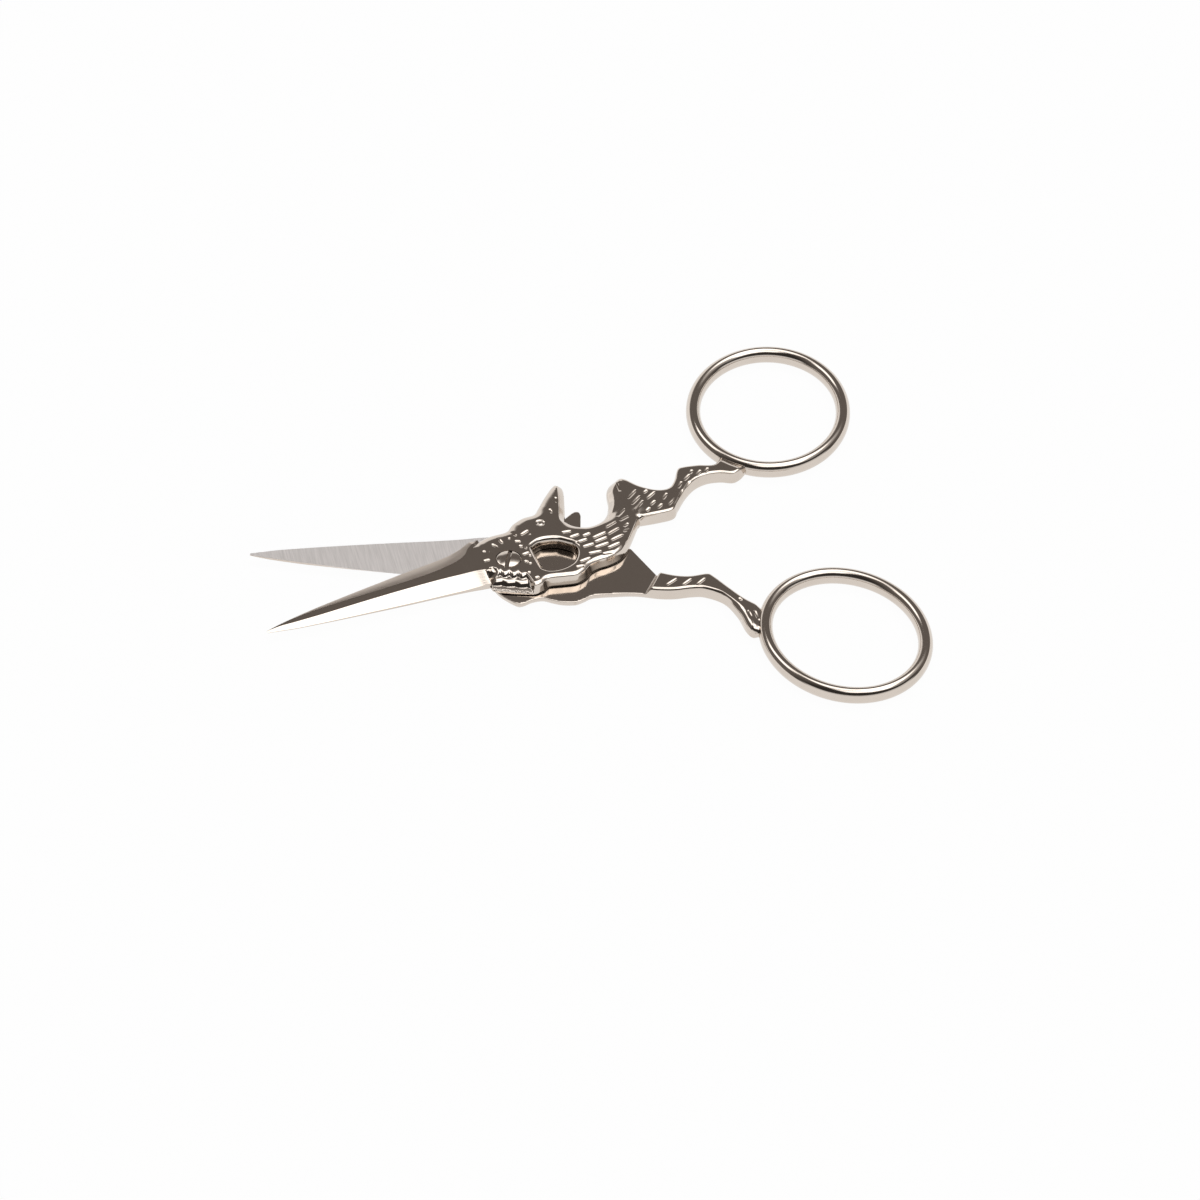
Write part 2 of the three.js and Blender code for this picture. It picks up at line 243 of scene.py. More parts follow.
front_grip = [ring_point(FRONT_RING_CENTRE, 1, turn) for turn in (166, 153, 140)]
front_rim = closed_outline(
    [(-3.8, -3.4), (-2.9, -4.3), (-1.0, -5.4), (0.9, -6.35), (2.2, -6.3), (3.3, -5.85), (5.2, -6.35),
     (6.9, -6.75), (8.4, -6.35), (9.5, -5.6), (10.8, -5.3), (12.1, -5.3), (13.7, -5.0), (15.0, -4.3), (16.3, -2.9),
     (17.8, -1.15), (19.6, 1.05)],
    [(19.6, 1.05), (22.2, 0.6), (24.3, 0.5), (25.4, 1.5), (27.4, 3.4), (29.4, 4.7), (31.3, 5.1), (33.1, 4.7),
     (35.0, 3.8), front_grip[0]],
    front_grip,
    [front_grip[2], (33.4, 6.95), (31.2, 7.7), (29.2, 8.2), (28.2, 8.0), (27.0, 6.3), (25.6, 5.1), (24.0, 5.5),
     (22.3, 7.2), (21.3, 9.2), (20.4, 10.0), (18.9, 9.3), (17.9, 8.0), (17.1, 5.7), (15.8, 3.55), (14.2, 2.3),
     (12.4, 2.1), (10.9, 3.1), (10.4, 4.6), (11.35, 7.0), (12.5, 9.8), (12.8, 11.1), (12.3, 11.75), (11.3, 11.4),
     (9.6, 9.95), (8.1, 8.45), (6.9, 7.4), (5.2, 7.35), (3.5, 6.75), (2.1, 5.75), (0.0, 5.8), (-1.4, 5.6),
     (-2.6, 5.05), (-3.4, 4.0), (-3.75, 2.6), (-3.85, 0.3), (-3.95, -1.6), (-3.8, -3.4)],
)
crook_rim = closed_outline(
    [(3.55, -3.3), (3.6, -2.1), (3.75, -0.1), (3.95, 1.05)],
    [(3.95, 1.05), (5.4, 1.55), (7.2, 1.1), (8.3, 0.15), (9.0, -0.8), (8.9, -1.9), (8.2, -3.1), (7.2, -3.95),
     (5.6, -4.3), (4.2, -4.0), (3.55, -3.3)],
)
FUR, FUR_DEEP = 0.29, 0.09
body_strokes = [(*row, FUR, FUR_DEEP) for row in [
    (8.55, 1.85, 9.85, 1.6), (9.1, 0.5, 10.55, 0.6), (10.8, 0.03, 11.95, 0.2), (9.5, -0.8, 11.1, -0.72),
    (11.8, -0.88, 13.95, -0.5), (11.7, -1.72, 13.65, -1.48), (13.9, -1.08, 15.95, -0.3), (14.25, 0.3, 16.15, 1.05),
    (13.75, -2.35, 15.85, -1.8), (16.1, -1.25, 17.2, -0.85), (9.85, -1.97, 11.55, -1.94), (11.25, -2.73, 13.4, -2.6),
    (12.75, -3.54, 14.75, -3.2), (10.0, -3.47, 11.85, -3.75), (11.65, -4.33, 13.25, -4.5), (15.7, -2.7, 16.3, -2.35),
    (16.6, -0.3, 17.5, 0.2), (8.25, -4.5, 9.95, -4.35), (7.4, -5.25, 8.45, -5.4), (1.6, -5.0, 2.2, -4.98),
]]
LEG_FUR, LEG_FUR_DEEP = 0.28, 0.085
leg_strokes = [(*row, LEG_FUR, LEG_FUR_DEEP) for row in [
    (16.75, 2.0, 18.4, 3.2), (16.6, 1.0, 18.2, 1.7), (19.65, 5.0, 21.5, 6.3), (19.6, 3.7, 21.45, 4.95),
    (19.65, 2.55, 21.4, 3.9), (22.1, 5.2, 22.8, 5.6), (21.95, 3.95, 23.6, 4.85), (21.9, 2.6, 22.85, 3.2),
    (20.9, 1.7, 21.6, 2.2), (22.5, 1.6, 23.4, 2.2), (23.9, 3.0, 24.9, 3.9), (24.1, 1.6, 25.5, 2.5),
    (26.1, 2.5, 27.1, 3.6), (26.7, 4.2, 27.7, 5.2), (28.1, 5.3, 29.3, 6.1), (29.4, 6.2, 30.0, 6.8),
    (30.0, 5.5, 31.0, 6.3), (27.7, 3.9, 28.7, 4.8), (31.3, 5.6, 32.1, 6.3),
]]
face_strokes = [(*row, half, deep) for half, deep, rows in [
    (0.28, 0.09, [
        (3.4, 3.65, 4.75, 4.15), (3.5, 2.4, 4.75, 3.25), (2.55, 4.95, 2.82, 3.75), (0.43, 4.4, 0.53, 3.1),
        (-0.8, 3.6, -0.35, 2.75), (-1.75, 2.1, -1.35, 2.2), (-2.4, 2.6, -2.2, 2.8), (-3.1, 1.05, -2.3, 0.85),
        (1.66, 3.8, 1.86, 3.6), (2.2, 2.85, 2.9, 2.5), (2.45, 1.85, 2.6, 1.3), (2.9, 1.3, 3.05, 0.85),
        (2.1, -0.05, 3.05, 0.05), (2.7, -0.5, 3.0, -0.65), (1.75, -1.25, 2.1, -1.75), (2.15, -1.9, 2.3, -2.15),
        (1.25, -3.5, 1.45, -3.75), (9.0, 6.0, 9.1, 6.9), (10.45, 7.8, 10.85, 8.8)]),
    (0.32, 0.13, [(19.8, 8.7, 19.35, 6.8), (-3.45, -1.15, -2.72, -0.62), (-2.8, -0.62, -2.35, -1.35)]),
] for row in rows]
front_strokes = body_strokes + leg_strokes + face_strokes
EYE_CENTRE, EYE_RADIUS, EYE_HALF, EYE_DEEP = (6.78, 4.85), 0.46, 0.2, 0.09
front_shoulder = np.array([16.5, 4.84])
front_shoulder_out = np.array([5.4, 3.7]) / math.hypot(5.4, 3.7)
PAW_DROP, PAW_REACH = 0.3, (0.7, 1.9)
HOCK, LEG_LEAST = 25, 0.1


def paw_drop(p, centre, side):
    """How far the leg's faces close up over the paw, by the distance from its ring's oval centre line."""
    x, y = p[:, 0] - centre[0], side * (p[:, 1] - centre[1])
    along = x * math.cos(RING_LEAN) + y * math.sin(RING_LEAN)
    across = y * math.cos(RING_LEAN) - x * math.sin(RING_LEAN)
    gap = np.abs(np.hypot(along / RING_LONG, across / RING_SHORT) - 1) * (RING_LONG + RING_SHORT) / 2
    return PAW_DROP * (1 - ease(*PAW_REACH, gap))


def figure_rise(p):
    """Height of the face over the plane where the halves meet: the figure, falling over the haunch to the leg,
    and over the paw towards the ring."""
    return FIGURE_RISE + (LEG_RISE - FIGURE_RISE) * ease(*HAUNCH, p[:, 0]) - paw_drop(p, FRONT_RING_CENTRE, 1)


GENTLE, TURN = 1.05, math.radians(38)
bend = np.linspace(TURN, 0, 9)
EDGE_IN = np.r_[0, 0.3, 0.35 + GENTLE * (math.sin(TURN) - np.sin(bend))]
EDGE_DROP = np.r_[1.5, 0.34, GENTLE * (1 - np.cos(bend))]
EDGE_STEPS = np.array([0.04, 0.1, 0.16, 0.22, 0.3, 0.35, 0.41, 0.47, 0.53, 0.6, 0.67, 0.74, 0.81, 0.88,
                       0.95, 1.02])
CROOK_ROUND, CROOK_TURN = 0.62, math.radians(58)
bend = np.linspace(CROOK_TURN, 0, 10)
CROOK_IN = np.r_[0, 0.06, 0.25 + CROOK_ROUND * (math.sin(CROOK_TURN) - np.sin(bend))]
CROOK_DROP = np.r_[1.3, 0.73, CROOK_ROUND * (1 - np.cos(bend))]
ELBOW_IN, ELBOW_DROP = (0, 0.04, 0.3, 0.5, 0.6, 0.7), (1.3, 0.375, 0.195, 0.065, 0.015, 0)
SIDE_IN, SIDE_DROP = (0, 0.08, 0.72, 0.85, 1.0, 1.25), (1.2, 0.98, 0.26, 0.13, 0.04, 0.0)
SLOPE, END_ROUND, HAUNCH_ROUND = math.radians(22), 1.0, 1.2
BACK_ROUND, SADDLE_ROUND = 3.0, 5.0
EAR_EDGE, EAR_OUT = (9.2, 4.5), (0.928, -0.371)
HAUNCH_EDGE, HAUNCH_OUT = (16.0, 3.0), (-0.858, 0.515)
HAUNCH_FROM, HAUNCH_TO, HAUNCH_HIGH = (14.6, 16.0), (19.5, 20.3), 2.5
ELBOW_RIGHT, ELBOW_LOW, ELBOW_HIGH = (3.7, 4.0), (-3.7, -3.0), (0.6, 1.2)
crook_ends = np.roll(crook_rim, -1, 0)


def edge_scale(p):
    """Size of the edge's profile: full on the body, less on the leg."""
    return 1 - 0.4 * ease(17.0, 22.0, p[:, 0])


def far_share(p):
    """1 over the head, the ear and the back, where the rim is softly rounded, and 0 along the chest and belly."""
    return ease(0.5, 3.0, p[:, 1]) * (1 - ease(19.5, 22.0, p[:, 0]))


def saddle_share(p):
    """1 in the hollow of the back between the ear and the haunch."""
    return ease(11.0, 12.5, p[:, 0]) * (1 - ease(5.0, 7.0, p[:, 1]))


def soft_drop(d, flat_round):
    """A rim that bends slowly over a large round as far as SLOPE, then over END_ROUND to upright."""
    turn = np.radians(np.r_[np.linspace(90, 22, 12), np.linspace(18, 0, 7)])
    shallow = turn < SLOPE
    inner = END_ROUND * (1 - math.sin(SLOPE)) + flat_round * (math.sin(SLOPE) - np.sin(turn))
    reach = np.where(shallow, inner, END_ROUND * (1 - np.sin(turn)))
    start = flat_round * (1 - math.cos(SLOPE))
    drop = np.where(shallow, flat_round * (1 - np.cos(turn)), start + END_ROUND * (math.cos(SLOPE) - np.cos(turn)))
    return np.interp(d, reach, drop)


def side_share(p):
    """1 along the right of the ear and the left of the haunch, whose edges are broad chamfers."""
    ear = ease(-0.1, 0.3, (p - EAR_EDGE) @ EAR_OUT) * ease(3.6, 4.8, p[:, 1]) * (p[:, 0] < 13.5)
    haunch = ease(-1.0, -0.2, (p - HAUNCH_EDGE) @ HAUNCH_OUT) * ease(3.0, 4.5, p[:, 1]) * (p[:, 0] > 15)
    return np.maximum(ear, haunch)


def front_drop(p, d):
    """How far the face falls near its rim: a soft roll and a steep drafted side along the chest and belly; a soft
    round over the head and the back; chamfers at the ear, the haunch and the elbow; a small round at the
    foreleg's crook."""
    size = edge_scale(p)
    near = size * np.interp(d / size, EDGE_IN, EDGE_DROP)
    saddle = saddle_share(p)
    far = soft_drop(d, BACK_ROUND) * (1 - saddle) + soft_drop(d, SADDLE_ROUND) * saddle
    far = far + (np.interp(d, SIDE_IN, SIDE_DROP) - far) * side_share(p)
    haunch = ease(*HAUNCH_FROM, p[:, 0]) * (1 - ease(*HAUNCH_TO, p[:, 0]))
    near = near + (round_drop(d, HAUNCH_ROUND) - near) * haunch
    drop = near + (far - near) * far_share(p)
    at_crook = segment_distance(p, crook_rim, crook_ends) <= d + 1e-6
    elbow = (1 - ease(*ELBOW_RIGHT, p[:, 0])) * ease(*ELBOW_LOW, p[:, 1]) * (1 - ease(*ELBOW_HIGH, p[:, 1]))
    crook = np.interp(d, CROOK_IN, CROOK_DROP)
    crook = crook + (np.interp(d, ELBOW_IN, ELBOW_DROP) - crook) * elbow
    return np.where(at_crook, crook, drop)


CHEST_FOOT, CHEST_OUT = np.array([-3.8, -3.4]), np.array([0.527, 0.85])
LEDGE_IN, LEDGE_RISE = (0, 0.06, 0.5), (0.12, 0.42, 0.47)
LOW_IN, LOW_RISE = (0.8, 1.12, 1.3, 1.52, 1.9), (0, 0.42, 0.54, 0.62, 0.66)
HIGH_IN, HIGH_RISE = (2.1, 2.3, 2.5, 2.75, 3.15), (0, 0.26, 0.4, 0.49, 0.52)
LOCK_WIDE, LOCK_START, LOCK_CLOSER = 1.7, 1.9, 1.45
LOW_REACH, HIGH_REACH = 0.2, 0.42
CHEST_RIGHT, CHEST_TOP = (0.75, 1.15), (-1.6, -0.6)
FLANK_FOOT, FLANK_OUT = np.array([-3.85, -0.78]), np.array([0.991, -0.131])
FLANK_IN, FLANK_DROP = (0, 0.1, 1.75, 2.0), (1.55, 1.48, 0.08, 0.0)
FLANK_RIGHT, FLANK_TOP = -1.5, (-1.8, -0.7)
ROOT_X, ROOT_RISE = (-5, -2), (1.42, 1.62)
ROOT_RIGHT, ROOT_FOOT, ROOT_TOP = (-3.2, -2.2), (-0.9, -0.5), (4.1, 5.0)


def chest_height(p):
    """The chest above its ledge: two rows of mane locks like scales, the upper row's narrower."""
    out = (p - CHEST_FOOT) @ CHEST_OUT
    turn = np.pi * ((p - CHEST_FOOT) @ (CHEST_OUT[1], -CHEST_OUT[0]) - LOCK_START) / LOCK_WIDE
    low = np.interp(out + LOW_REACH * np.abs(np.cos(turn)), LOW_IN, LOW_RISE)
    high = np.interp(out + HIGH_REACH * np.abs(np.sin(LOCK_CLOSER * turn)), HIGH_IN, HIGH_RISE)
    return np.interp(out, LEDGE_IN, LEDGE_RISE) + low + high


def eye_distance(p):
    """Distance from the middle of the eye."""
    return np.hypot(p[:, 0] - EYE_CENTRE[0], p[:, 1] - EYE_CENTRE[1])


def front_top(p, d):
    """The figure's face: rolled at the rim, with the ledge below the chest, the steep flank and the flat root
    towards the blade, the screw's seat, the eye and the cuts."""
    rise = figure_rise(p)
    z = rise - front_drop(p, d)
    chest_share = (1 - ease(*CHEST_RIGHT, p[:, 0])) * (1 - ease(*CHEST_TOP, p[:, 1]))
    z = z + (np.minimum(chest_height(p), rise) - z) * chest_share
    flank = rise - np.interp((p - FLANK_FOOT) @ FLANK_OUT, FLANK_IN, FLANK_DROP)
    flank_share = (1 - ease(*FLANK_TOP, p[:, 1])) * (p[:, 0] < FLANK_RIGHT)
    z = z + (np.minimum(z, flank) - z) * flank_share
    root = np.interp(p[:, 0], ROOT_X, ROOT_RISE)
    root_share = (1 - ease(*ROOT_RIGHT, p[:, 0])) * ease(*ROOT_FOOT, p[:, 1]) * (1 - ease(*ROOT_TOP, p[:, 1]))
    z = z + (root - z) * root_share
    eye = np.abs(eye_distance(p) - EYE_RADIUS) / EYE_HALF
    cut = np.maximum(stroke_depth(p, front_strokes), EYE_DEEP * np.maximum(1 - eye ** 2, 0) ** 2)
    on_haunch = (p[:, 0] > HAUNCH_FROM[0]) & (p[:, 1] < HAUNCH_HIGH)
    z = z - cut * np.where(on_haunch, ease(0.45, 1.0, d), ease(0.1, 0.5, d))
    z = np.where(p[:, 0] > HOCK, np.maximum(z, LEG_LEAST), z)
    return np.where(np.hypot(p[:, 0], p[:, 1]) < SCREW_SEAT, FIGURE_RISE - SEAT_DEPTH, z)


LEG_ROUND, SHOULDER_HALF = 0.65, 0.05
BACK_WIDER, SADDLE_WIDER = 0.78, 0.75


def front_under(p, d):
    """The back of the front half: flat where it laps, and rounded below the leg beyond the shoulder."""
    past = (p - front_shoulder) @ front_shoulder_out
    leg = np.minimum(paw_drop(p, FRONT_RING_CENTRE, 1) - LEG_RISE + round_drop(d, LEG_ROUND), -LEG_LEAST)
    return LAP + (leg - LAP) * ease(-SHOULDER_HALF, SHOULDER_HALF, past)


def front_insets(rim):
    """Rim copies for the front face, at the steps of the edge's profile, wider apart over the head and the back."""
    wider = (BACK_WIDER + SADDLE_WIDER * saddle_share(rim)) * far_share(rim)
    return EDGE_STEPS[:, None] * (edge_scale(rim) + wider)


def seat_marks(radius):
    """Rings of points just inside and outside the wall of the screw's seat."""
    turn = np.linspace(0, 2 * np.pi, 72, endpoint=False)[:, None]
    rings = np.array([radius - 0.25, radius - 0.015, radius + 0.015, radius + 0.1, radius + 0.2])
    return np.stack([np.cos(turn) * rings, np.sin(turn) * rings], -1).reshape(-1, 2)


def on_chest(p):
    """Whether a point is on the chest or on the boss next to it."""
    return (p[:, 0] < 1.6) & (p[:, 1] < 1.6)


def worked(p):
    """Whether a point is on a part of the face that needs a close grid: the cuts, the eye, the chest."""
    eye = eye_distance(p) < EYE_RADIUS + EYE_HALF + 0.1
    return near_strokes(p, front_strokes) | eye | on_chest(p)


CLOSE_GRID = 0.085
figure_box = (-4.2, 37.0, -7.2, 11.8)
fine, coarse = grid_marks(figure_box, CLOSE_GRID), grid_marks(figure_box, 4 * CLOSE_GRID)
front_marks = np.vstack([fine[worked(fine)], coarse[~worked(coarse)]])
front_marks = front_marks[np.hypot(front_marks[:, 0], front_marks[:, 1]) > SCREW_SEAT + 0.25]
front_marks = np.vstack([front_marks, seat_marks(SCREW_SEAT)])


def front_keep_off(p):
    """How far the grid of the face stays away from the rim and its copies."""
    on_seat = np.hypot(p[:, 0], p[:, 1]) < SCREW_SEAT + 0.2
    return np.where(on_seat, 0.02, np.where(on_chest(p), 0.1, edge_scale(p) + 0.8 * far_share(p)))


shoulder_along = np.array([-front_shoulder_out[1], front_shoulder_out[0]])
shoulder_marks = np.vstack([
    front_shoulder + offset * front_shoulder_out + np.arange(-9, 4, 0.15)[:, None] * shoulder_along
    for offset in (-0.06, 0.06)
])
front_back_marks = np.vstack([grid_marks(figure_box, 0.6), shoulder_marks])


def leg_insets(rim):
    """Rim copies for the lower face: round the leg's edge, none where the halves lap."""
    past = (rim - front_shoulder) @ front_shoulder_out > 0
    return round_insets(np.where(past, LEG_ROUND, 0.0))


front_points, front_faces = forging(
    [front_rim, crook_rim], [circle(SCREW_BORE)],
    (front_top, front_insets, front_marks, front_keep_off),
    (front_under, leg_insets, front_back_marks, lambda p: np.full(len(p), 0.2)),
)


def math_node(tree, operation, *values):
    """A math node on values that are sockets or numbers; gives its output."""
    node = tree.nodes.new("ShaderNodeMath")
    node.operation = operation
    for slot, value in zip(node.inputs, values):
        if isinstance(value, bpy.types.NodeSocket):
            tree.links.new(value, slot)
        else:
            slot.default_value = value
    return node.outputs["Value"]


def noise(tree, place, scale, detail):
    """A noise read at a place; gives its value."""
    node = tree.nodes.new("ShaderNodeTexNoise")
    node.inputs["Scale"].default_value, node.inputs["Detail"].default_value = scale, detail
    tree.links.new(place, node.inputs["Vector"])
    return node.outputs["Fac"]


def lined_noise(tree, place, turn, scale, detail):
    """A noise drawn out into lines: its place is turned in plan and stretched by a scale for each axis."""
    node = tree.nodes.new("ShaderNodeMapping")
    node.inputs["Rotation"].default_value = (0, 0, turn)
    node.inputs["Scale"].default_value = scale
    tree.links.new(place, node.inputs["Vector"])
    return noise(tree, node.outputs["Vector"], 1, detail)


def colour_mix(tree, share, none, full):
    """A mix of two colours, the first where the share is 0 and the second where it is 1; gives its output."""
    node = tree.nodes.new("ShaderNodeMix")
    node.data_type = "RGBA"
    node.inputs["A"].default_value = (*none, 1)
    node.inputs["B"].default_value = (*full, 1)
    tree.links.new(share, node.inputs["Factor"])
    return node.outputs["Result"]


def bare_metal(name):
    """A new metal: the material, its nodes, its surface and the place on the piece that its patterns read."""
    material = bpy.data.materials.new(name)
    material.use_nodes = True
    tree = material.node_tree
    surface = tree.nodes["Principled BSDF"]
    surface.inputs["Metallic"].default_value = 1.0
    return material, tree, surface, tree.nodes.new("ShaderNodeTexCoord").outputs["Object"]


def dress(tree, surface, tone, gloss, height, strength, depth):
    """Leads a tone, a gloss and a height into a metal's surface."""
    bump = tree.nodes.new("ShaderNodeBump")
    bump.inputs["Strength"].default_value, bump.inputs["Distance"].default_value = strength, depth
    for source, target in ((tone, surface.inputs["Base Color"]), (gloss, surface.inputs["Roughness"]),
                           (height, bump.inputs["Height"]), (bump.outputs["Normal"], surface.inputs["Normal"])):
        tree.links.new(source, target)


SMUDGE_SCALE, SMUDGE_SPREAD, SMUDGE_DULL, SMUDGE_TONE = 260, (0.35, 0.7), 0.05, 0.25
LINE_TURN, LINE_SCALE, LINE_DULL = math.radians(35), (600, 9000, 600), 0.03


def nickel_marks():
    """Node group: faint smudges and fine polishing lines, as a tone, a roughness and a height."""
    group = bpy.data.node_groups.new("polishing marks", "ShaderNodeTree")
    for name, kind, way in [("Vector", "NodeSocketVector", "INPUT"), ("Gloss", "NodeSocketFloat", "INPUT"),
                            ("Tone", "NodeSocketFloat", "OUTPUT"), ("Roughness", "NodeSocketFloat", "OUTPUT"),
                            ("Height", "NodeSocketFloat", "OUTPUT")]:
        group.interface.new_socket(name=name, in_out=way, socket_type=kind)
    entry, leave = group.nodes.new("NodeGroupInput"), group.nodes.new("NodeGroupOutput")
    place = entry.outputs["Vector"]
    spread = group.nodes.new("ShaderNodeMapRange")
    spread.inputs["From Min"].default_value, spread.inputs["From Max"].default_value = SMUDGE_SPREAD
    group.links.new(noise(group, place, SMUDGE_SCALE, 4), spread.inputs["Value"])
    smudge = spread.outputs["Result"]
    lines = lined_noise(group, place, LINE_TURN, LINE_SCALE, 2)
    gloss = math_node(group, "MULTIPLY_ADD", lines, LINE_DULL, entry.outputs["Gloss"])
    gloss = math_node(group, "MULTIPLY_ADD", smudge, SMUDGE_DULL, gloss)
    for name, source in (("Tone", smudge), ("Roughness", gloss), ("Height", lines)):
        group.links.new(source, leave.inputs[name])
    return group


polishing = nickel_marks()


def nickel(name, clean, smudge_and_shade, gloss):
    """Polished plate: metal whose tone and gloss vary with the polishing marks, its colour darker in the cuts as
    painted shade.
    """
    material, tree, surface, place = bare_metal(name)
    marks = tree.nodes.new("ShaderNodeGroup")
    marks.node_tree = polishing
    marks.inputs["Gloss"].default_value = gloss
    tree.links.new(place, marks.inputs["Vector"])
    # Painted shade: the cut attribute darkens the colour in the cuts, on top of the random smudge tone.
    cuts = tree.nodes.new("ShaderNodeAttribute")
    cuts.attribute_name = "cut"
    shade = math_node(tree, "MULTIPLY_ADD", marks.outputs["Tone"], SMUDGE_TONE, cuts.outputs["Fac"])
    shade.node.use_clamp = True
    dress(tree, surface, colour_mix(tree, shade, clean, smudge_and_shade), marks.outputs["Roughness"], marks.outputs["Height"],
          strength=0.02, depth=0.0001)
    return material


# The second colour serves the random smudges and the painted shade in the cuts.
NICKEL_CLEAN, NICKEL_SMUDGE_AND_SHADE = (0.67, 0.60, 0.535), (0.56, 0.48, 0.405)
polished = nickel("polished nickel plate", NICKEL_CLEAN, NICKEL_SMUDGE_AND_SHADE, 0.06)


def rest_place(points, turn):
    """From a half's own closed place, in millimetres above the contact plane, to the open rest pose in metres."""
    c, s = math.cos(math.radians(turn)), math.sin(math.radians(turn))
    x, y, z = points.T
    return np.stack([c * x - s * y, s * x + c * y, z + CONTACT], 1) * MM


def make_piece(name, points, faces, materials, body, replaced, sharp, turn=0.0, kinds=None, cut=None):
    """Puts points and faces into a mesh, smooth but for edges sharper than an angle, riding on its body."""
    mesh = bpy.data.meshes.new(name)
    mesh.from_pydata(rest_place(points, turn).tolist(), [], [list(map(int, face)) for face in faces])
    for material in materials:
        mesh.materials.append(material)
    if kinds is not None:
        mesh.polygons.foreach_set("material_index", np.asarray(kinds, np.int32))
    # The cut attribute carries painted shade: how far the colour darkens in the cuts.
    shade = mesh.attributes.new("cut", "FLOAT", "POINT")
    shade.data.foreach_set("value", (np.zeros(len(points)) if cut is None else cut).astype(np.float32))
    mesh.polygons.foreach_set("use_smooth", np.ones(len(mesh.polygons), bool))
    mesh.set_sharp_from_angle(angle=math.radians(sharp))
    mesh.update()
    piece = bpy.data.objects.new(name, mesh)
    bpy.context.scene.collection.objects.link(piece)
    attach(piece, body)
    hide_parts(replaced)
    return piece


# Painted shade in the cuts: the colour is darkest where a cut is this deep, in millimetres.
CUT_SHADE_DEPTH = 0.16
front_cut_shade = np.where(front_points[:, 2] > LAP + 0.2, stroke_depth(front_points[:, :2], front_strokes) / CUT_SHADE_DEPTH, 0)
make_piece("front_figure", front_points, front_faces, [polished], "front", "front_half",
           sharp=50, turn=HALF_TURN, cut=np.clip(front_cut_shade, 0, 1))

# Front blade
# A slim forged blade, ground to a narrow bevel behind the cutting edge, a flat, and a broad facet down to
# the spine. It grows out of the figure's boss, and its inner face is ground flat.
BLADE_STATIONS = 140
BLADE_X = (-33.85, -32.0, -30.0, -27.0, -25.0, -20.0, -15.0, -10.0, -6.8, -5.0, -3.9, -2.0)
BLADE_LINES = {
    "edge": (1.75, 2.12, 2.45, 2.95, 3.25, 3.98, 4.63, 5.1, 5.3, 5.45, 5.55, 5.7),
    "bevel": (1.72, 2.05, 2.3, 2.5, 2.52, 2.45, 2.35, 2.4, 2.8, 3.3, 4.3, 5.68),
    "ridge": (1.68, 1.78, 1.6, 1.42, 1.34, 1.19, 0.99, 0.68, 0.3, -0.1, -0.4, -0.9),
    "spine": (1.45, 1.05, 0.65, 0.22, -0.05, -0.65, -1.22, -1.72, -2.1, -2.35, -2.48, -2.7),
    "rise": (0.1, 0.24, 0.34, 0.45, 0.52, 0.69, 0.83, 0.96, 1.1, 1.35, 1.46, 1.5),
    "back": (0.05, 0.08, 0.1, 0.13, 0.15, 0.2, 0.23, 0.28, 0.36, 0.54, 0.66, 0.7),
}


def blade_surface():
    """Stations along the blade by corners across it: edge, land, two bevel lines, both sides of the ridge, spine
    top and spine foot, each a smooth curve through measured points. The facet sinks into the figure at the root,
    and both ends are closed."""
    x = np.r_[np.linspace(BLADE_X[0], -4.1, BLADE_STATIONS - 20), np.linspace(-4.0, BLADE_X[-1], 20)]
    line = {}
    for name, values in BLADE_LINES.items():
        run = smooth_run(np.stack([BLADE_X, values], 1), 0.05)
        line[name] = np.interp(x, run[:, 0], run[:, 1])
    sink = ease(-3.7, -3.4, x)
    edge, rise, ridge, back = line["edge"], line["rise"], line["ridge"], line["back"]
    wide, zero = edge - line["bevel"], np.zeros_like(x)
    across = np.stack([edge, edge - 0.28 * wide, edge - 0.63 * wide, line["bevel"], ridge, ridge - 0.02,
                       line["spine"], line["spine"] - 0.36 * back], 1)
    up = np.stack([zero, rise - 0.105 * wide, rise - 0.033 * wide, rise, rise + 0.02, rise + 0.02 - 0.6 * sink,
                   back - 0.5 * sink, zero], 1)
    up[:, 1:4] -= 0.35 * ease(-3.3, -2.4, x)[:, None]
    columns = across.shape[1]
    points = np.stack([np.repeat(x, columns), across.ravel(), up.ravel() + LAP], 1)
    row, column = np.meshgrid(np.arange(BLADE_STATIONS - 1), np.arange(columns), indexing="ij")
    after = (column + 1) % columns
    quads = np.stack([row * columns + column, row * columns + after, (row + 1) * columns + after,
                      (row + 1) * columns + column], -1).reshape(-1, 4)
    last = (BLADE_STATIONS - 1) * columns
    caps = [list(range(columns))[::-1], list(range(last, last + columns))]
    finish = np.select([column == columns - 1, column < 3], [1, 2], 0)
    return points, quads.tolist() + caps, np.r_[finish.ravel(), [0, 0]]


GRIND_SCALE, GRIND_GLOSS = (7000, 260, 400), (0.6, 0.7)
GRIND_DARK, GRIND_PALE = (0.57, 0.545, 0.53), (0.865, 0.83, 0.815)
BEVEL_CLEAN, BEVEL_DULL = (0.68, 0.60, 0.53), (0.6, 0.52, 0.45)


def ground_steel(name):
    """Satin ground face: fine grind lines across the blade, seen in the tone, the gloss and a slight height."""
    material, tree, surface, place = bare_metal(name)
    lines = lined_noise(tree, place, math.radians(HALF_TURN), GRIND_SCALE, 3)
    gloss = tree.nodes.new("ShaderNodeMapRange")
    gloss.inputs["To Min"].default_value, gloss.inputs["To Max"].default_value = GRIND_GLOSS
    tree.links.new(lines, gloss.inputs["Value"])
    dress(tree, surface, colour_mix(tree, lines, GRIND_DARK, GRIND_PALE), gloss.outputs["Result"], lines,
          strength=0.25, depth=0.00005)
    return material


